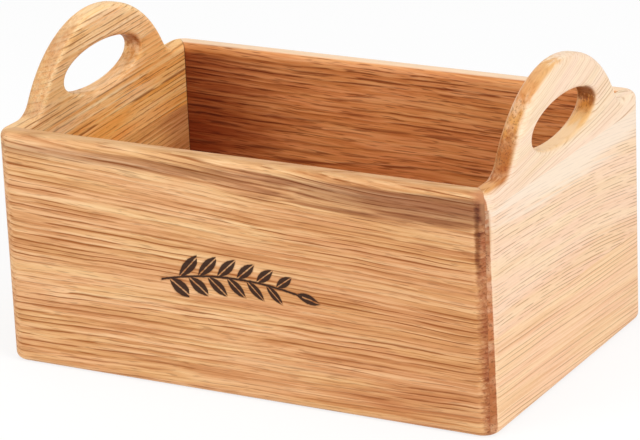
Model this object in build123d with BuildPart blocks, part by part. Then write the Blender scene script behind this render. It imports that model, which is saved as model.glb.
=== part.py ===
"""Oak condiment holder: an open caddy with mitred walls and an arched handle at each end.

The frame stands on the table plane, centred under the caddy: X along the long walls,
Y from front to back with the front at -Y, Z up. All sizes are in millimetres.
"""

import os
from math import sqrt

from build123d import *

# Outside of the caddy
length = 240.0
width = 158.0
wall_height = 108.0
wall = 10.0
corner_radius = 8.0
edge_radius = 3.5

# Arched handles at the two ends
handle_rise = 36.0
shoulder = 23.5
foot_radius = 12.0
# wood over the hand hole, and beside it at its middle
grip_depth = 16.0
grip_side = 18.0
hand_hole_height = 21.0
hand_hole_edge_radius = 2.5
# both holes stand a little towards the front
hand_hole_offset = 1.5

# Glue lines between the staves of each end: up from the table, and down from the rim
right_lower_joint = 43.0
right_upper_joint_drop = 8.0
left_lower_joint = 30.0
left_upper_joint_drop = 30.0

# Base panel, loose in a groove round the walls
base_recess = 8.0
base_thickness = 7.0
groove_depth = 4.0
base_top_clearance = 0.2
base_edge_gap = 0.5

# Splines, the loose tongues across the mitres
spline_thickness = 3.0
spline_width = 8.0
spline_above_base = 6.0
spline_below_rim = 14.0
spline_face_clearance = 0.1
spline_edge_gap = 0.3
spline_end_gap = 0.5

# Sizes that follow from the ones above
overall_height = wall_height + handle_rise
inner_length = length - 2 * wall
inner_width = width - 2 * wall
handle_foot = width / 2 - shoulder
arch_radius = (handle_foot**2 + handle_rise**2) / (2 * handle_rise)
hand_hole_middle = overall_height - grip_depth - hand_hole_height / 2
arch_at_hand_hole = sqrt(arch_radius**2 - (arch_radius - overall_height + hand_hole_middle) ** 2)
hand_hole_length = 2 * (arch_at_hand_hole - grip_side)
# the rounding of the edges stays under half the board, and under the radius of the corners
rim_radius = min(edge_radius, 0.45 * wall, 0.8 * corner_radius)
saw_margin = wall / 2
base_top = base_recess + base_thickness
spline_bottom = base_top + spline_above_base
spline_length = wall_height - spline_below_rim - spline_bottom
spline_middle = spline_bottom + spline_length / 2
# along the mitre from the inside corner, with as much wood inside the spline as outside it
spline_inset = (wall * sqrt(2) - spline_width / 2) / 2
tolerance = 0.001


def spline_places():
    """Middle of each spline, with its thickness along the mitre, by corner name."""
    step = spline_inset / sqrt(2)
    x = inner_length / 2 + step
    y = inner_width / 2 + step
    return {
        "front_left": Location((-x, -y, spline_middle), (0, 0, 225)),
        "front_right": Location((x, -y, spline_middle), (0, 0, 315)),
        "back_left": Location((-x, y, spline_middle), (0, 0, 135)),
        "back_right": Location((x, y, spline_middle), (0, 0, 45)),
    }


def wall_board(turn, half_length, reach, arched, hole_place=0.0):
    """One whole wall of the caddy, mitred, grooved and rounded over.

    The board is drawn as seen from outside and turned about Z into its place. half_length is half
    its outside length, and reach is how far its outside face lies from the middle of the caddy.
    hole_place is how far to the right of its middle an arched board has its hand hole.
    """
    plan = Plane.XY.rotated((0, 0, turn))
    view = Plane(plan.origin, x_dir=plan.x_dir, z_dir=-plan.y_dir)
    # where the mitre leaves the rounded corner
    nip = corner_radius * (1 - sqrt(0.5))

    def runs_along(edge):
        return abs(edge.tangent_at(0.5).dot(plan.y_dir)) < 0.5

    def on_rim(edge):
        return edge.bounding_box().min.Z > wall_height - tolerance

    def under_outside(edge):
        return edge.bounding_box().max.Z < tolerance and edge.center().dot(plan.y_dir) < wall / 2 - reach

    with BuildPart() as board:
        with BuildSketch(plan):
            with BuildLine():
                outside = Line((corner_radius - half_length, -reach), (half_length - corner_radius, -reach))
                right_nose = TangentArc(outside @ 1, (half_length - nip, nip - reach), tangent=outside % 1)
                left_nose = TangentArc(outside @ 0, (nip - half_length, nip - reach), tangent=-(outside % 0))
                Polyline(
                    right_nose @ 1,
                    (half_length - wall, wall - reach),
                    (wall - half_length, wall - reach),
                    left_nose @ 1,
                )
            make_face()
        extrude(amount=overall_height + saw_margin if arched else wall_height)

        if arched:
            # the waste above the rim and the arch
            with BuildSketch(view) as waste:
                with BuildLine():
                    arch = ThreePointArc(
                        (-handle_foot, wall_height), (0, overall_height), (handle_foot, wall_height)
                    )
                    Polyline(
                        arch @ 1,
                        (half_length + saw_margin, wall_height),
                        (half_length + saw_margin, overall_height + 2 * saw_margin),
                        (-half_length - saw_margin, overall_height + 2 * saw_margin),
                        (-half_length - saw_margin, wall_height),
                        arch @ 0,
                    )
                make_face()
                feet = waste.vertices().filter_by(lambda point: abs(abs(point.X) - handle_foot) < tolerance)
                fillet(feet, foot_radius)
            extrude(amount=reach + saw_margin, mode=Mode.SUBTRACT)

        fillet(board.edges().filter_by(on_rim).filter_by(runs_along), rim_radius)
        fillet(board.edges().filter_by(under_outside).filter_by(runs_along), rim_radius)

        if arched:
            with BuildSketch(view):
                with Locations((hole_place, hand_hole_middle)):
                    Ellipse(hand_hole_length / 2, hand_hole_height / 2)
            extrude(amount=reach + saw_margin, mode=Mode.SUBTRACT)
            fillet(board.edges(Select.LAST).filter_by(GeomType.LINE, reverse=True), hand_hole_edge_radius)

        # groove for the base panel, run out through both mitres
        with BuildSketch(plan.offset(base_recess)):
            with Locations((0, wall - reach)):
                Rectangle(2 * half_length, 2 * groove_depth)
        extrude(amount=base_thickness + base_top_clearance, mode=Mode.SUBTRACT)

        # half of the slot for the spline at each end
        with Locations(*spline_places().values()):
            Box(
                spline_thickness + 2 * spline_face_clearance,
                spline_width + 2 * spline_edge_gap,
                spline_length + 2 * spline_end_gap,
                mode=Mode.SUBTRACT,
            )
    return board


def finish(piece, label):
    """Name a finished piece and write it out."""
    piece.part.label = label
    export_step(piece.part, f"parts/{label}.step")


def end_staves(end, turn, hole_place, lower_joint, upper_joint):
    """The three staves of one end, cut from its whole board, the top one with the handle."""
    end_board = wall_board(turn, width / 2, length / 2, arched=True, hole_place=hole_place)
    staves = {
        "lower_stave": (-saw_margin, lower_joint),
        "middle_stave": (lower_joint, upper_joint),
        "handle_stave": (upper_joint, overall_height + saw_margin),
    }
    for stave, (bottom, top) in staves.items():
        with BuildPart() as piece:
            add(end_board.part)
            with BuildSketch(Plane.XY.offset(bottom)):
                Rectangle(2 * length, 2 * width)
            extrude(amount=top - bottom, mode=Mode.INTERSECT)
        finish(piece, f"{end}_{stave}")


os.makedirs("parts", exist_ok=True)

# Long walls, one board each
finish(wall_board(0, length / 2, width / 2, arched=False), "front_board")
finish(wall_board(180, length / 2, width / 2, arched=False), "back_board")

# Ends, three staves each
end_staves("right_end", 90, -hand_hole_offset, right_lower_joint, wall_height - right_upper_joint_drop)
end_staves("left_end", 270, hand_hole_offset, left_lower_joint, wall_height - left_upper_joint_drop)

# Base panel, resting on the lower side of its groove
with BuildPart() as base_panel:
    with BuildSketch(Plane.XY.offset(base_recess)):
        Rectangle(
            inner_length + 2 * (groove_depth - base_edge_gap),
            inner_width + 2 * (groove_depth - base_edge_gap),
        )
    extrude(amount=base_thickness)
finish(base_panel, "base_panel")

# Splines, one in each corner
for corner, place in spline_places().items():
    with BuildPart() as spline:
        with Locations(place):
            Box(spline_thickness, spline_width, spline_length)
    finish(spline, f"{corner}_spline")
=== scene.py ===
"""Looks of the oak condiment holder: oiled oak boards, studio light and the photographer's view.

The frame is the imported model's, in metres: X along the long walls, Y from the front wall to the back
wall with the front at -Y, Z up from the table. Wood sizes are written in millimetres.
"""

from dataclasses import dataclass, replace
from math import cos, radians, sin

import bmesh
import bpy
from mathutils import Matrix, Vector


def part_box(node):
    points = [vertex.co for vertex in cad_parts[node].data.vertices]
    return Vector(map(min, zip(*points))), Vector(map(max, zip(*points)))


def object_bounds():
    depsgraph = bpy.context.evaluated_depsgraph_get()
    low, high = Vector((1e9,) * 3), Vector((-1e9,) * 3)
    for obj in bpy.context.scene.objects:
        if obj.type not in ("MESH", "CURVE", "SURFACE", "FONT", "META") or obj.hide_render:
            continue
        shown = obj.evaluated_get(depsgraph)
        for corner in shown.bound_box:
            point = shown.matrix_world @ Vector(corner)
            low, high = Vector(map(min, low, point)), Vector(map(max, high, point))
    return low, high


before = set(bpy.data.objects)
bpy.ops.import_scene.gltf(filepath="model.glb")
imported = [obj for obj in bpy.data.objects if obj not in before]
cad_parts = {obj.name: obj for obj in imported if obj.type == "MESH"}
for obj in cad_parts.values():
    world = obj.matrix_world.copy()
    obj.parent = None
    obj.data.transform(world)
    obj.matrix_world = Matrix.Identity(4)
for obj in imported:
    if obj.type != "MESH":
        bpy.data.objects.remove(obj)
cad_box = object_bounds()

MM = 0.001

# Sizes of the caddy, from the frame
half_length = cad_box[1].x
half_width = cad_box[1].y
overall_height = cad_box[1].z
front_face = cad_box[0].y
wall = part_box("front_board")[1].y - front_face

# Camera, fitted to the outline of the caddy in the photograph: turns in degrees, lens in millimetres
camera_place = Vector((0.6978, -1.2521, 0.5552))
camera_yaw = 29.204
camera_pitch = 19.199
camera_roll = 2.519
camera_lens = 191.425
camera_sensor = 36.0

# Herb sprig burned into the front board, in millimetres
sprig_middle_x = 0.0
sprig_middle_z = 55.0
leaf_pairs = 6
leaf_pitch = 9.6
leaf_length = 14.5
leaf_width = 5.6
leaf_turn = radians(42)
leaf_shrink = 0.055
tip_leaf_share = 0.8
vein_half_width = 0.28
stem_half_width = 0.5
stem_rise = 3.0
stalk = 9.0
tip_join = 3.0
sprig_half_length = leaf_pairs * leaf_pitch / 2

# Settings that many nodes share
SOFT_STEP = {"interpolation_type": "SMOOTHSTEP"}
COVER = {"data_type": "RGBA"}
DARKEN = {"data_type": "RGBA", "blend_type": "MULTIPLY"}


@dataclass
class StainOrPaintedLight:
    """A patch of wood tone, painted shade or light: its middle and reach along the board and up it, in
    millimetres.

    It is full out to core, a share of its reach, and stops at top, a height on the board. fray is how far
    the streaks of the grain pull its edge. It darkens the wood, or covers it where it is a paler one.
    With edges_only it lies on the edges of the board and in the hand hole, and not on the faces.
    """

    along: float
    up: float
    reach: tuple
    colour: str
    depth: float
    top: float = 200.0
    core: float = 0.3
    fray: float = 0.35
    edges_only: bool = False
    paler: bool = False


@dataclass
class Oak:
    """How one board was sawn and coloured. Sizes are millimetres, turns degrees and depths shares.

    A slope of the surface is the share of its normal that points a certain way: 1 where it faces that way.
    """

    # the axis the board lies along, and which length of the log it is
    along: str
    seed: int
    # wood between the lines, lines of early wood, pores, cut ends under oil, and sanded rim with a painted
    # highlight
    pale: str
    mid: str
    brown: str
    line: str
    pore: str
    end: str
    rim: str
    # slope of the lines on the face, and of the grain into the face
    lean: float = 0.0
    swing: float = 0.0
    # how the slope changes up the board from a level, and along it, and how far the grain wanders
    fan: float = 0.0
    fan_level: float = 0.0
    bow: float = 0.0
    drift: float = 5.0
    # growth rings: where their middle lies across the board, their width and how uneven they are
    pith: tuple = (40.0, -190.0)
    ring_width: float = 2.2
    unevenness: float = 1.6
    # broken lines of early wood, and the share of them left in calm stretches and on cut ends
    line_width: float = 0.55
    line_depth: float = 0.75
    dash_length: float = 90.0
    dash_edges: tuple = (0.4, 0.56)
    calm: float = 0.4
    lines_on_ends: float = 0.2
    # streaks between the lines, and the shares of threads, streaks, bands and late wood in the tone
    streak_length: float = 100.0
    tone_shares: tuple = (0.3, 0.25, 0.17, 0.28)
    # pores: real ones are about 0.25 mm wide, too fine to show in the render, so they are drawn coarser
    pore_length: float = 6.0
    pore_width: float = 0.5
    pore_depth: float = 0.3
    # oil in the cut ends: its depth at the low and the high end of the axis, the slopes of the surface
    # where it starts and is full, and the change of these for each millimetre up the board
    end_depths: tuple = (0.6, 0.6)
    end_edges: tuple = (0.05, 0.5)
    end_slope: float = 0.0
    # how raggedly the oil creeps, how far from the caddy's middle it shows in full, the slopes towards
    # the right over which it fades out, where 1 or more is nowhere, and the dots of cut pores in it
    end_creep: float = 0.17
    end_reach: float = 500.0
    end_fade: tuple = (1.0, 1.1)
    dot: str = "#6E3C16"
    dot_depth: float = 0.6
    # sanded rim, partly a painted highlight: its depth, and the upward slopes of the surface where it
    # starts and is full
    rim_depth: float = 0.5
    rim_edges: tuple = (0.6, 0.97)
    # glue lines at the mitres, painted shade on the face towards the left, and patches of tone or painted
    # light
    mitred: bool = True
    left_face_shade_tint: str = ""
    stains_and_painted_light: tuple = ()


def linear(hex_colour):
    """The linear colour of an sRGB hex value."""
    shares = [int(hex_colour[i:i + 2], 16) / 255 for i in (1, 3, 5)]
    return [s / 12.92 if s <= 0.04045 else ((s + 0.055) / 1.055) ** 2.4 for s in shares] + [1.0]


def add(tree, kind, *inputs, **settings):
    """Add a node with its settings. Its inputs come in the order of the sockets, or by name in a dict.

    An input that is a node or a socket is linked, and any other is set as a value.
    """
    node = tree.nodes.new("ShaderNode" + kind)
    for setting, value in settings.items():
        setattr(node, setting, value)
    if inputs and isinstance(inputs[0], dict):
        pairs = [(node.inputs[name], value) for name, value in inputs[0].items()]
    else:
        pairs = zip([socket for socket in node.inputs if socket.enabled], inputs)
    for socket, value in pairs:
        if isinstance(value, bpy.types.Node):
            value = next(output for output in value.outputs if output.enabled)
        if isinstance(value, bpy.types.NodeSocket):
            tree.links.new(value, socket)
        else:
            socket.default_value = value
    return node


def new_material(name):
    """An empty material with its output node, as (material, tree, output)."""
    material = bpy.data.materials.new(name)
    material.use_nodes = True
    tree = material.node_tree
    tree.nodes.clear()
    return material, tree, add(tree, "OutputMaterial")


def board_space(tree, oak):
    """Places on the board in millimetres: X along it, Y and Z across it.

    They wander a little, as the board's grain does.
    """
    drift_length = 100.0
    drift_width = 34.0
    place = add(tree, "TexCoord").outputs["Object"]
    turn = radians(-90) if oak.along == "Y" else 0.0
    middle = (0.0, -oak.drift / 2, -oak.drift / 2)
    straight = add(tree, "Mapping", place, middle, (0.0, 0.0, turn), (1 / MM,) * 3)
    drift_size = (1 / drift_length, 1 / drift_width, 1 / drift_width)
    stretch = add(tree, "VectorMath", straight, drift_size, operation="MULTIPLY")
    wander = add(
        tree, "TexNoise", {"Vector": stretch, "W": oak.seed, "Scale": 1.0, "Detail": 3.0},
        noise_dimensions="4D",
    ).outputs["Color"]
    return add(
        tree, "VectorMath", wander, (0.0, oak.drift, oak.drift), straight, operation="MULTIPLY_ADD"
    )


def grain_space(tree, oak, board):
    """Places in the log in millimetres, X along its grain.

    Each board comes from its own length of the log. Where its grain fans, the lines draw together along
    the board towards the fan's level, and where it is bowed, they sink towards both ends.
    """
    log_step = 1000.0
    axes = add(tree, "SeparateXYZ", board).outputs
    fanned = add(tree, "Math", axes["Z"], oak.fan, -oak.fan * oak.fan_level, operation="MULTIPLY_ADD")
    rise = add(tree, "Math", axes["X"], oak.bow, fanned, operation="MULTIPLY_ADD")
    rise = add(tree, "Math", rise, axes["X"], operation="MULTIPLY")
    board = add(tree, "VectorMath", rise, (0.0, 0.0, 1.0), board, operation="MULTIPLY_ADD")
    lie = (0.0, radians(oak.lean), radians(oak.swing))
    return add(tree, "Mapping", board, (log_step * oak.seed, 0.0, 0.0), lie)


def grain_marks(tree, grain, size, edges, detail=1.0):
    """Soft marks along the grain, from 0 between them to 1 in their middle.

    size is their length and width in millimetres, and edges are the levels of the noise where a mark
    starts and where it is full.
    """
    length, width = size
    stretch = add(tree, "VectorMath", grain, (1 / length, 1 / width, 1 / width), operation="MULTIPLY")
    noise = add(tree, "TexNoise", {"Vector": stretch, "Scale": 1.0, "Detail": detail})
    return add(tree, "MapRange", noise, *edges, **SOFT_STEP)


def growth_rings(tree, grain, oak):
    """The rings of the years, as (lines of early wood, late wood that darkens towards the next line)."""
    uneven_span = 8.0
    half_ring = 0.5
    pith = (0.0, -oak.pith[0], -oak.pith[1])
    from_pith = add(tree, "VectorMath", grain, (0.0, 1.0, 1.0), pith, operation="MULTIPLY_ADD")
    radius = add(tree, "VectorMath", from_pith, operation="LENGTH").outputs["Value"]
    span = add(tree, "Math", radius, 1 / uneven_span, operation="MULTIPLY")
    uneven = add(tree, "TexNoise", {"W": span, "Scale": 1.0, "Detail": 3.0}, noise_dimensions="1D")
    early = add(tree, "Math", uneven, oak.unevenness, operation="MULTIPLY")
    years = add(tree, "Math", radius, 1 / oak.ring_width, early, operation="MULTIPLY_ADD")
    from_line = add(tree, "Math", years, half_ring, operation="PINGPONG")
    line_share = oak.line_width / oak.ring_width
    lines = add(tree, "MapRange", from_line, 0.0, line_share, 1.0, 0.0, **SOFT_STEP)
    return lines, add(tree, "Math", years, operation="FRACT")


def wood_tone(tree, grain, oak, late_wood):
    """The colour between the lines, pale to brown in fine streaks, as (colour, streaks)."""
    streak_edges = (0.34, 0.66)
    thread_length = 0.7 * oak.streak_length
    mid_edges = (0.1, 0.6)
    brown_edges = (0.45, 0.95)
    golden = "#FFFDF3"
    pink = "#FFF8F5"
    bands = grain_marks(tree, grain, size=(260.0, 8.0), edges=(0.32, 0.68), detail=2.0)
    streaks = grain_marks(tree, grain, size=(oak.streak_length, 2.0), edges=streak_edges, detail=3.0)
    threads = grain_marks(tree, grain, size=(thread_length, 0.75), edges=streak_edges, detail=4.0)
    tone = 0.0
    for pattern, share in zip((threads, streaks, bands, late_wood), oak.tone_shares):
        tone = add(tree, "Math", pattern, share, tone, operation="MULTIPLY_ADD")
    to_mid = add(tree, "MapRange", tone, *mid_edges, **SOFT_STEP)
    colour = add(tree, "Mix", to_mid, linear(oak.pale), linear(oak.mid), **COVER)
    to_brown = add(tree, "MapRange", tone, *brown_edges, **SOFT_STEP)
    colour = add(tree, "Mix", to_brown, colour, linear(oak.brown), **COVER)
    # patches a little more golden and a little more pink
    hue = grain_marks(tree, grain, size=(55.0, 6.0), edges=(0.35, 0.65))
    tint = add(tree, "Mix", hue, linear(golden), linear(pink), **COVER)
    return add(tree, "Mix", 1.0, colour, tint, **DARKEN), streaks


def early_wood_lines(tree, grain, oak, rings, cut):
    """The rings' dark lines, broken into dashes, and fainter in calm stretches and on cut ends."""
    dash_width = 1.4
    dashes = grain_marks(tree, grain, size=(oak.dash_length, dash_width), edges=oak.dash_edges)
    depth = add(tree, "MapRange", cut, 0.0, 1.0, oak.line_depth, oak.lines_on_ends * oak.line_depth)
    lines = add(tree, "Math", rings, dashes, operation="MULTIPLY")
    lines = add(tree, "Math", lines, depth, operation="MULTIPLY")
    lively = grain_marks(tree, grain, size=(120.0, 14.0), edges=(0.36, 0.6))
    strength = add(tree, "MapRange", lively, 0.0, 1.0, oak.calm, 1.0)
    return add(tree, "Math", lines, strength, operation="MULTIPLY")


def end_grain(tree, oak, board, grain, normal):
    """Where the surface cuts across the grain, as (share of cut grain, share darkened by the oil)."""
    cut_edges = (0.1, 0.5)
    creep_out = 0.3
    creep_in = 0.7
    past_reach = 1.08
    oil_past_reach = 0.15
    axis = (1.0, 0.0, 0.0) if oak.along == "X" else (0.0, 1.0, 0.0)
    facing = add(tree, "VectorMath", normal, axis, operation="DOT_PRODUCT").outputs["Value"]
    # the oil creeps unevenly, and further up or down the board
    ragged = grain_marks(tree, grain, size=(2.5, 1.4), edges=(0.25, 0.75), detail=3.0)
    creep_span = (creep_out * oak.end_creep, -creep_in * oak.end_creep)
    creep = add(tree, "MapRange", ragged, 0.0, 1.0, *creep_span)
    height = add(tree, "SeparateXYZ", board).outputs["Z"]
    above = add(tree, "Math", height, overall_height / MM / 2, operation="SUBTRACT")
    creep = add(tree, "Math", above, oak.end_slope, creep, operation="MULTIPLY_ADD")
    shares = []
    for side, depth in zip((-1.0, 1.0), oak.end_depths):
        turned = add(tree, "Math", facing, side, creep, operation="MULTIPLY_ADD")
        shares.append(add(tree, "MapRange", turned, *oak.end_edges, 0.0, depth, **SOFT_STEP))
    soaked = add(tree, "Math", *shares, operation="MAXIMUM")
    # past its reach only a little of it is left
    place = add(tree, "TexCoord").outputs["Object"]
    out = add(tree, "VectorMath", place, axis, operation="DOT_PRODUCT").outputs["Value"]
    out = add(tree, "Math", out, operation="ABSOLUTE")
    reach = oak.end_reach * MM
    within = add(tree, "MapRange", out, reach, past_reach * reach, 1.0, oil_past_reach, **SOFT_STEP)
    soaked = add(tree, "Math", soaked, within, operation="MULTIPLY")
    # and it fades out over the rounded edge towards the right-hand face
    rightward = add(tree, "SeparateXYZ", normal).outputs["X"]
    fade = add(tree, "MapRange", rightward, *oak.end_fade, 1.0, 0.0, **SOFT_STEP)
    soaked = add(tree, "Math", soaked, fade, operation="MULTIPLY")
    across = add(tree, "Math", facing, operation="ABSOLUTE")
    return add(tree, "MapRange", across, *cut_edges, **SOFT_STEP), soaked


def oiled_ends(tree, oak, grain, soaked, colour):
    """End grain, dark with oil in blotches, and dotted with cut pores.

    The dots are drawn about three times as wide as real pores, so that they show in the render.
    """
    least_oil = 0.6
    blotches = grain_marks(tree, grain, size=(30.0, 6.0), edges=(0.3, 0.6), detail=2.0)
    blotches = add(tree, "MapRange", blotches, 0.0, 1.0, least_oil, 1.0)
    blotched = add(tree, "Math", soaked, blotches, operation="MULTIPLY")
    colour = add(tree, "Mix", blotched, colour, linear(oak.end), **DARKEN)
    dots = grain_marks(tree, grain, size=(3.0, 0.8), edges=(0.55, 0.68))
    dots = add(tree, "Math", dots, oak.dot_depth, operation="MULTIPLY")
    dots = add(tree, "Math", dots, soaked, operation="MULTIPLY")
    return add(tree, "Mix", dots, colour, linear(oak.dot), **COVER)


def sanded_rim_and_highlight(tree, oak, normal, colour):
    """The top of the board, paler where sanding cut through the oil, and partly a painted highlight."""
    upward = add(tree, "SeparateXYZ", normal).outputs["Z"]
    sanded_and_highlit = add(tree, "MapRange", upward, *oak.rim_edges, 0.0, oak.rim_depth, **SOFT_STEP)
    return add(tree, "Mix", sanded_and_highlit, colour, linear(oak.rim), **COVER)


def stained_or_painted_light(tree, board, normal, oak, stain_or_light, streaks, colour):
    """A patch of heartwood, sapwood, soaked oil, painted shade or painted light that frays out along the
    grain.
    """
    top_softness = 1.5
    fray_inward = 0.3
    edge_slopes = (0.4, 0.9)
    middle = (stain_or_light.along, 0.0, stain_or_light.up)
    size = (1 / stain_or_light.reach[0], 0.0, 1 / stain_or_light.reach[1])
    away = add(tree, "VectorMath", board, middle, operation="SUBTRACT")
    away = add(tree, "VectorMath", away, size, operation="MULTIPLY")
    reach = add(tree, "VectorMath", away, operation="LENGTH").outputs["Value"]
    frayed = add(tree, "Math", streaks, -stain_or_light.fray, reach, operation="MULTIPLY_ADD")
    rim = 1.0 - fray_inward * stain_or_light.fray
    share = add(tree, "MapRange", frayed, stain_or_light.core, rim, stain_or_light.depth, 0.0, **SOFT_STEP)
    height = add(tree, "SeparateXYZ", board).outputs["Z"]
    below = add(tree, "MapRange", height, stain_or_light.top - top_softness, stain_or_light.top, 1.0, 0.0, **SOFT_STEP)
    share = add(tree, "Math", share, below, operation="MULTIPLY")
    if stain_or_light.edges_only:
        outward = "Y" if oak.along == "X" else "X"
        facing = add(tree, "Math", add(tree, "SeparateXYZ", normal).outputs[outward], operation="ABSOLUTE")
        edge = add(tree, "MapRange", facing, *edge_slopes, 1.0, 0.0, **SOFT_STEP)
        share = add(tree, "Math", share, edge, operation="MULTIPLY")
    return add(tree, "Mix", share, colour, linear(stain_or_light.colour), **(COVER if stain_or_light.paler else DARKEN))


def shade_tinted_left_face(tree, oak, normal, colour):
    """The face towards the left, tinted deeper than the rest of the board, whose pale tone is partly
    painted light.
    """
    face_slopes = (-0.95, -0.5)
    leftward = add(tree, "SeparateXYZ", normal).outputs["X"]
    share = add(tree, "MapRange", leftward, *face_slopes, 1.0, 0.0, **SOFT_STEP)
    return add(tree, "Mix", share, colour, linear(oak.left_face_shade_tint), **DARKEN)


def mitre_seam(tree, colour):
    """The thin dark glue line where two boards meet in a corner.

    It is open in the inside corner, and tight where the corner is rounded.
    """
    seam_width = 0.5
    rounding = 4.0
    open_depth = 0.75
    tight_depth = 0.15
    glue = "#5A3218"
    axes = add(tree, "SeparateXYZ", add(tree, "TexCoord").outputs["Object"]).outputs
    across = add(tree, "Math", axes["X"], operation="ABSOLUTE")
    deep = add(tree, "Math", axes["Y"], operation="ABSOLUTE")
    aside = add(tree, "Math", across, deep, operation="SUBTRACT")
    aside = add(tree, "Math", aside, half_length - half_width, operation="SUBTRACT")
    aside = add(tree, "Math", aside, operation="ABSOLUTE")
    share = add(tree, "MapRange", aside, 0.0, seam_width * MM, 1.0, 0.0, **SOFT_STEP)
    inside = half_length - wall
    outside = half_length - rounding * MM
    depth = add(tree, "MapRange", across, inside, outside, open_depth, tight_depth)
    share = add(tree, "Math", share, depth, operation="MULTIPLY")
    return add(tree, "Mix", share, colour, linear(glue), **COVER)


def oiled_oak(name, oak, burned=None):
    """Oak, planed, sanded and oiled: a satin face with dark open pores along its grain.

    The pattern is solid, so the pores that are dashes on the face are dots on the end grain, which
    has taken up more oil. The sanded rims are paler, partly as a painted highlight. Lines and pores lie
    a little below the face, and are duller than it.
    """
    pore_edges = (0.56, 0.7)
    pore_sink = 0.15
    sink_strength = 0.25
    satin_roughness = 0.5
    pore_roughness = 0.9
    oil_ior = 1.5
    oil_specular = 0.25

    material, tree, output = new_material(name)
    board = board_space(tree, oak)
    grain = grain_space(tree, oak, board)
    normal = add(tree, "TexCoord").outputs["Normal"]
    rings, late_wood = growth_rings(tree, grain, oak)
    cut, soaked = end_grain(tree, oak, board, grain, normal)
    lines = early_wood_lines(tree, grain, oak, rings, cut)
    pores = grain_marks(tree, grain, size=(oak.pore_length, oak.pore_width), edges=pore_edges)
    pores = add(tree, "Math", pores, oak.pore_depth, operation="MULTIPLY")

    colour, streaks = wood_tone(tree, grain, oak, late_wood)
    colour = add(tree, "Mix", lines, colour, linear(oak.line), **COVER)
    colour = add(tree, "Mix", pores, colour, linear(oak.pore), **COVER)
    colour = sanded_rim_and_highlight(tree, oak, normal, colour)
    colour = oiled_ends(tree, oak, grain, soaked, colour)
    for stain_or_light in oak.stains_and_painted_light:
        colour = stained_or_painted_light(tree, board, normal, oak, stain_or_light, streaks, colour)
    if oak.left_face_shade_tint:
        colour = shade_tinted_left_face(tree, oak, normal, colour)
    if oak.mitred:
        colour = mitre_seam(tree, colour)

    depth = add(tree, "Math", pores, lines, operation="ADD")
    if burned:
        colour, char = burned(tree, colour)
        depth = add(tree, "Math", depth, char, operation="MAXIMUM")
    height = add(tree, "Math", 1.0, depth, operation="SUBTRACT")
    bump = add(tree, "Bump", {"Strength": sink_strength, "Distance": pore_sink * MM, "Height": height})
    roughness = add(tree, "MapRange", depth, 0.0, 1.0, satin_roughness, pore_roughness)
    shader = add(tree, "BsdfPrincipled", {
        "Base Color": colour,
        "Roughness": roughness,
        "IOR": oil_ior,
        "Specular IOR Level": oil_specular,
        "Normal": bump,
    })
    tree.links.new(shader.outputs["BSDF"], output.inputs["Surface"])
    return material


def leaf(tree, along, across, length, width):
    """How deep inside a pointed leaf a place is, in millimetres, with a thin vein left along its middle."""
    share = add(tree, "Math", along, 2 / length, -1.0, operation="MULTIPLY_ADD")
    bulge = add(tree, "Math", share, share, operation="MULTIPLY")
    half = add(tree, "Math", bulge, -width / 2, width / 2, operation="MULTIPLY_ADD")
    aside = add(tree, "Math", across, operation="ABSOLUTE")
    inside = add(tree, "Math", half, aside, operation="SUBTRACT")
    off_vein = add(tree, "Math", aside, vein_half_width, operation="SUBTRACT")
    return add(tree, "Math", inside, off_vein, operation="MINIMUM")


def leaf_rows(tree, along, up, aside):
    """How deep inside the leaves along the stem a place is, in millimetres.

    The leaves stand at each side in turn, smaller towards the tip.
    """
    row_end_steepness = 20.0
    under = add(tree, "Math", up, 0.0, operation="LESS_THAN")
    step = add(tree, "Math", under, leaf_pitch / 2, along, operation="MULTIPLY_ADD")
    from_middle = add(tree, "Math", step, operation="ABSOLUTE")
    row_end = row_end_steepness * sprig_half_length
    within = add(tree, "Math", from_middle, -row_end_steepness, row_end, operation="MULTIPLY_ADD")
    step = add(tree, "Math", step, sprig_half_length, operation="ADD")
    count = add(tree, "Math", step, 1 / leaf_pitch, operation="MULTIPLY")
    count = add(tree, "Math", count, operation="FLOOR")
    size = add(tree, "Math", count, -leaf_shrink, 1.0, operation="MULTIPLY_ADD")
    step = add(tree, "Math", step, leaf_pitch, 0.0, operation="WRAP")
    run = add(tree, "Math", step, cos(leaf_turn), operation="MULTIPLY")
    run = add(tree, "Math", aside, sin(leaf_turn), run, operation="MULTIPLY_ADD")
    run = add(tree, "Math", run, size, operation="DIVIDE")
    rise = add(tree, "Math", step, -sin(leaf_turn), operation="MULTIPLY")
    rise = add(tree, "Math", aside, cos(leaf_turn), rise, operation="MULTIPLY_ADD")
    rise = add(tree, "Math", rise, size, operation="DIVIDE")
    leaves = leaf(tree, run, rise, leaf_length, leaf_width)
    return add(tree, "Math", leaves, within, operation="MINIMUM")


def stem(tree, along, aside):
    """How deep inside the stem a place is, in millimetres, from the stalk to the leaf at the tip."""
    half = sprig_half_length + (stalk + tip_join) / 2
    from_middle = add(tree, "Math", along, (stalk - tip_join) / 2, operation="ADD")
    from_middle = add(tree, "Math", from_middle, operation="ABSOLUTE")
    within = add(tree, "Math", half, from_middle, operation="SUBTRACT")
    inside = add(tree, "Math", stem_half_width, aside, operation="SUBTRACT")
    return add(tree, "Math", inside, within, operation="MINIMUM")


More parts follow.
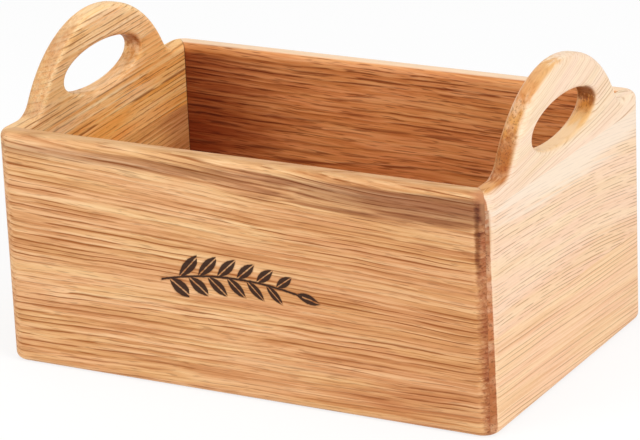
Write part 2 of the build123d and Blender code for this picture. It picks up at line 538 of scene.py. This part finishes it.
def burned_sprig(tree, colour):
    """A herb sprig burned into the front board: nearly black, with a scorched edge.

    Returns the colour with the sprig on it, and the share of charred wood.
    """
    rag_size = 1.3
    rag = 0.5
    burned_to = 1.0
    sound_from = 2.0
    far_outside = -5.0
    scorched = "#8A4E22"
    scorch_edges = (-0.9, 0.2)
    scorch_depth = 0.5
    charred = "#2E1A12"
    char_edges = (-0.2, 0.2)
    char_depth = 0.96

    place = add(tree, "TexCoord").outputs["Object"]
    axes = add(tree, "SeparateXYZ", place).outputs
    along = add(tree, "Math", axes["X"], 1 / MM, -sprig_middle_x, operation="MULTIPLY_ADD")
    up = add(tree, "Math", axes["Z"], 1 / MM, -sprig_middle_z, operation="MULTIPLY_ADD")
    # the stem bends up in its middle
    bend = add(tree, "Math", along, along, operation="MULTIPLY")
    up = add(tree, "Math", bend, stem_rise / sprig_half_length**2, up, operation="MULTIPLY_ADD")
    aside = add(tree, "Math", up, operation="ABSOLUTE")
    past_rows = add(tree, "Math", along, sprig_half_length, operation="SUBTRACT")
    tip = leaf(tree, past_rows, up, tip_leaf_share * leaf_length, tip_leaf_share * leaf_width)
    shape = add(tree, "Math", leaf_rows(tree, along, up, aside), tip, operation="MAXIMUM")
    shape = add(tree, "Math", shape, stem(tree, along, aside), operation="MAXIMUM")

    # the iron burns a ragged edge, and only the outside face
    ragged = add(tree, "TexNoise", {"Vector": place, "Scale": 1 / (rag_size * MM), "Detail": 1.0})
    shape = add(tree, "Math", ragged, rag, shape, operation="MULTIPLY_ADD")
    depths = (front_face + burned_to * MM, front_face + sound_from * MM)
    inward = add(tree, "MapRange", axes["Y"], *depths, -rag / 2, far_outside)
    shape = add(tree, "Math", shape, inward, operation="ADD")
    scorch = add(tree, "MapRange", shape, *scorch_edges, 0.0, scorch_depth, **SOFT_STEP)
    colour = add(tree, "Mix", scorch, colour, linear(scorched), **COVER)
    char = add(tree, "MapRange", shape, *char_edges, 0.0, char_depth, **SOFT_STEP)
    return add(tree, "Mix", char, colour, linear(charred), **COVER), char


def dress(node, material):
    """Give a CAD node its material."""
    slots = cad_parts[node].data.materials
    slots.clear()
    slots.append(material)


def dress_front():
    """Front board: warm, lively oak in short dark dashes, with the burned sprig."""
    oak = Oak(
        along="X", seed=1, pale="#EBC597", mid="#DAA673", brown="#BB7F4A",
        line="#8E4911", pore="#8A5A34", end="#B47A66", rim="#CA9C69",
        fan=0.0008, fan_level=21.0, drift=6.0, ring_width=2.3, line_width=0.5, line_depth=0.9,
        dash_length=32.0, dash_edges=(0.42, 0.54), lines_on_ends=0.5, streak_length=60.0,
        tone_shares=(0.24, 0.24, 0.2, 0.32), pore_length=10.0, pore_depth=0.4,
        end_depths=(0.1, 0.8), end_edges=(0.08, 0.56), end_slope=0.002, rim_depth=0.6,
        stains_and_painted_light=(
            # dark under the rim, broad on the right and thin on the left
            StainOrPaintedLight(125.0, 101.0, (145.0, 12.5), "#C2B1AC", 1.0, top=105.5),
            StainOrPaintedLight(-70.0, 101.0, (80.0, 4.0), "#CFC6C8", 0.65, top=104.5),
            # a little deeper on the right and along the bottom
            StainOrPaintedLight(75.0, 55.0, (95.0, 70.0), "#F2E4D8", 0.8),
            StainOrPaintedLight(105.0, 8.0, (60.0, 22.0), "#E8D2C0", 0.4),
            StainOrPaintedLight(20.0, 5.0, (130.0, 20.0), "#F2ECE2", 0.4),
            # oil beside the right corner, and the paler top of that corner
            StainOrPaintedLight(114.9, 87.0, (1.6, 20.0), "#AE9068", 0.9, core=0.1),
            StainOrPaintedLight(118.2, 101.0, (2.7, 10.0), "#A87650", 0.75, core=0.5, fray=0.0, paler=True),
            StainOrPaintedLight(117.0, 107.0, (6.0, 5.0), "#C3865A", 0.65, paler=True),
        ),
    )
    dress("front_board", oiled_oak("oiled_oak_front_board", oak, burned_sprig))


def dress_back():
    """Back board: deep red-brown oak with a pale rim, darkest towards the left corner in painted shade."""
    oak = Oak(
        along="X", seed=2, pale="#E6AA73", mid="#D68F55", brown="#BA6F39",
        line="#7A3208", pore="#74300C", end="#96604A", rim="#F5D8B6",
        lean=-2.0, swing=1.5, pith=(110.0, 40.0), line_depth=0.9, dash_length=22.0, calm=0.6,
        streak_length=40.0, pore_length=13.0, pore_width=0.7, pore_depth=0.6, end_depths=(0.3, 0.4),
        # the pale rim is partly a painted highlight on the top of the board
        rim_depth=0.85, rim_edges=(0.85, 0.995),
        # painted shade: darker towards the inside back-left corner; the pattern is solid, so the outside
        # darkens there too
        stains_and_painted_light=(StainOrPaintedLight(-125.0, 45.0, (100.0, 150.0), "#A06A56", 0.95, top=105.0, core=0.0, fray=0.2),),
    )
    dress("back_board", oiled_oak("oiled_oak_back_board", oak))


def dress_right_end():
    """Right end: calm oak with fine dashes, pale partly as painted light, and golden oiled edges on the
    handle.
    """
    middle = Oak(
        along="Y", seed=4, pale="#F2D6BA", mid="#EDCEB0", brown="#E7C2A0",
        line="#8A5E3C", pore="#A5835F", end="#C68E64", rim="#F2D3AE",
        lean=-5.0, bow=0.0005, drift=2.5, pith=(-60.0, -260.0), ring_width=1.5, unevenness=0.8,
        line_width=0.32, line_depth=0.65, dash_length=14.0, calm=0.7, pore_depth=0.12,
        end_depths=(1.0, 0.2), end_edges=(0.44, 0.5), end_slope=-0.0022, end_creep=0.03,
        # painted light: the pale outer face stands partly for the strong light from the right; this tint
        # gives the inner face the deeper tone of the oak
        left_face_shade_tint="#EFD9AF",
        stains_and_painted_light=(
            # paler under the upper glue line, deeper at the lower one, and oil in the front corner
            StainOrPaintedLight(15.0, 100.0, (110.0, 15.0), "#EFDECA", 0.75, core=0.4, paler=True),
            StainOrPaintedLight(0.0, 40.0, (120.0, 18.0), "#FAECDC", 0.55),
            StainOrPaintedLight(-77.2, 90.0, (3.3, 20.0), "#DCCAB8", 1.0, core=0.6, fray=0.0),
        ),
    )
    handle = replace(
        middle, seed=3, pale="#F2DDC5", mid="#EFD6BD", brown="#E6C6A6",
        line="#A8784A", end="#D8A452", rim="#F2D8B4", lean=6.0, fan=-0.008, fan_level=105.0, bow=0.0,
        drift=6.0, line_depth=0.6, dash_length=60.0, calm=0.4, lines_on_ends=0.6,
        end_depths=(0.95, 0.8), end_edges=(0.1, 0.7), end_slope=0.0, end_creep=0.1, end_reach=68.0,
        end_fade=(0.1, 0.75), dot="#7A4E22", rim_depth=0.1,
        stains_and_painted_light=(
            # in the hand hole: golden below, from oil and from painted light lifting the shade there;
            # darker at the back
            StainOrPaintedLight(0.0, 106.0, (40.0, 9.0), "#FAD29C", 0.7, edges_only=True, paler=True),
            StainOrPaintedLight(26.0, 113.0, (15.0, 8.0), "#F8E2B4", 0.8, edges_only=True),
            StainOrPaintedLight(31.0, 124.5, (11.0, 9.0), "#A07C66", 0.8, core=0.4, fray=0.5, edges_only=True),
            # down the front of the arch to its foot
            StainOrPaintedLight(-22.0, 141.0, (26.0, 9.0), "#F0CE9A", 0.95, edges_only=True),
            StainOrPaintedLight(-55.0, 117.0, (14.0, 18.0), "#D2B088", 0.95, edges_only=True),
            StainOrPaintedLight(-68.0, 109.0, (14.0, 10.0), "#E2B67A", 0.95, edges_only=True),
            # the front corner
            StainOrPaintedLight(-79.0, 99.0, (3.6, 11.0), "#CDA184", 1.0, core=0.9, fray=0.0),
        ),
    )
    lower = replace(
        middle, seed=5, pale="#F1CFAA", mid="#EBC49E", brown="#DFB085", end="#BA8660",
        lean=-2.5, bow=0.0, ring_width=1.9, dash_length=60.0, stains_and_painted_light=(),
    )
    for stave, oak in (("middle", middle), ("handle", handle), ("lower", lower)):
        dress(f"right_end_{stave}_stave", oiled_oak(f"oiled_oak_right_{stave}_stave", oak))


def dress_left_end():
    """Left end: golden oak with short dashes, palest on the handle, with painted shade towards the inside
    back corner.
    """
    handle = Oak(
        along="Y", seed=6, pale="#FFE6BA", mid="#FFD6A0", brown="#EEB674",
        line="#8A4E16", pore="#8A5A2C", end="#DCCCC2", rim="#E6BA8A",
        lean=3.0, drift=3.0, pith=(60.0, -100.0), line_width=0.5, line_depth=0.78, dash_length=17.0,
        lines_on_ends=0.4, end_depths=(0.9, 0.6), end_fade=(0.5, 0.9), dot_depth=0.15, rim_depth=0.4,
        stains_and_painted_light=(
            # golden towards the glue line, duller at the front, deeper at the back
            StainOrPaintedLight(20.0, 70.0, (110.0, 38.0), "#F6E5C0", 0.95),
            StainOrPaintedLight(-50.0, 115.0, (45.0, 45.0), "#EEE8E0", 0.9),
            StainOrPaintedLight(-15.0, 84.0, (45.0, 18.0), "#FCE6C0", 0.8),
            StainOrPaintedLight(60.0, 105.0, (45.0, 30.0), "#F6E0B4", 0.8),
            # the back of the hand hole
            StainOrPaintedLight(31.0, 124.0, (11.0, 8.0), "#B89480", 0.7, edges_only=True),
        ),
    )
    # painted shade: the middle and lower staves darker towards the inside back corner
    inner_corner_painted_shade = StainOrPaintedLight(75.0, 65.0, (40.0, 25.0), "#DCC8CC", 0.8)
    middle = replace(
        handle, seed=7, pale="#EDBE80", mid="#DDA562", brown="#C48646", stains_and_painted_light=(inner_corner_painted_shade,)
    )
    lower = replace(middle, seed=8)
    for stave, oak in (("handle", handle), ("middle", middle), ("lower", lower)):
        dress(f"left_end_{stave}_stave", oiled_oak(f"oiled_oak_left_{stave}_stave", oak))


def dress_base():
    """Base panel and splines: plain oak with long quiet lines, and no glue line of their own."""
    panel = Oak(
        along="X", seed=9, pale="#E6B680", mid="#D09A60", brown="#B07440",
        line="#85502A", pore="#7A4A24", end="#96604A", rim="#E6B680",
        pith=(0.0, -120.0), rim_depth=0.0, mitred=False,
    )
    dress("base_panel", oiled_oak("oiled_oak_base_panel", panel))
    spline = oiled_oak("planed_oak_splines", replace(panel, seed=10, pale="#EAC796", mid="#D9AE76"))
    for corner in ("front_left", "front_right", "back_left", "back_right"):
        dress(f"{corner}_spline", spline)


def backdrop_rays(tree):
    """1 for the rays that see the white backdrop itself, 0 for those that carry its light."""
    path = add(tree, "LightPath").outputs
    seen = add(tree, "Math", path["Is Camera Ray"], path["Is Glossy Ray"], operation="MAXIMUM")
    return add(tree, "Math", seen, path["Is Transmission Ray"], operation="MAXIMUM")


def white_floor():
    """Matt white paper sweep: white to the eye, with a faint shadow under the caddy."""
    half_side = 3.0
    shadow_share = 0.22
    material, tree, output = new_material("matt_white_paper")
    paper = add(tree, "BsdfDiffuse", {"Color": linear("#FAFAFA")})
    white = add(tree, "Emission", {"Color": linear("#FFFFFF"), "Strength": 1.0})
    share = add(tree, "Math", backdrop_rays(tree), 1 - shadow_share, operation="MULTIPLY")
    mixed = add(tree, "MixShader", share, paper, white)
    tree.links.new(mixed.outputs[0], output.inputs["Surface"])

    shape = bmesh.new()
    bmesh.ops.create_grid(shape, x_segments=1, y_segments=1, size=half_side)
    mesh = bpy.data.meshes.new("floor")
    shape.to_mesh(mesh)
    shape.free()
    mesh.materials.append(material)
    floor = bpy.data.objects.new("floor", mesh)
    bpy.context.scene.collection.objects.link(floor)


def white_world():
    """White all round to the eye, and a soft ambient light on the caddy."""
    ambient = 0.6
    world = bpy.data.worlds.new("white_studio")
    world.use_nodes = True
    tree = world.node_tree
    tree.nodes.clear()
    output = add(tree, "OutputWorld")
    strength = add(tree, "MapRange", backdrop_rays(tree), 0.0, 1.0, ambient, 1.0)
    white = add(tree, "Background", linear("#FFFFFF"), strength)
    tree.links.new(white.outputs[0], output.inputs["Surface"])
    bpy.context.scene.world = world


def soft_box(name, place, side, power):
    """A square studio light that faces the caddy: place and side in metres, power in watts."""
    target = Vector((0.0, 0.0, 0.06))
    lamp = bpy.data.lights.new(name, "AREA")
    lamp.size = side
    lamp.energy = power
    light = bpy.data.objects.new(name, lamp)
    light.location = place
    light.rotation_euler = (target - light.location).to_track_quat("-Z", "Y").to_euler()
    bpy.context.scene.collection.objects.link(light)


def photographer_view():
    """The camera of the photograph."""
    lens = bpy.data.cameras.new("camera")
    lens.sensor_fit = "HORIZONTAL"
    lens.sensor_width = camera_sensor
    lens.lens = camera_lens
    camera = bpy.data.objects.new("camera", lens)
    camera.matrix_world = (
        Matrix.Translation(camera_place)
        @ Matrix.Rotation(radians(camera_yaw), 4, "Z")
        @ Matrix.Rotation(radians(90 - camera_pitch), 4, "X")
        @ Matrix.Rotation(radians(-camera_roll), 4, "Z")
    )
    bpy.context.scene.collection.objects.link(camera)
    bpy.context.scene.camera = camera


dress_front()
dress_back()
dress_right_end()
dress_left_end()
dress_base()
white_floor()
white_world()
# a broad light from the right, and weaker ones from above and from the left in front
soft_box("key_light", place=(2.45, -0.71, 1.58), side=1.42, power=34.0)
soft_box("top_light", place=(0.1, -0.35, 1.7), side=1.2, power=7.0)
soft_box("fill_light", place=(-0.9, -1.5, 0.9), side=0.9, power=9.5)
photographer_view()
bpy.context.scene.view_settings.view_transform = "Standard"
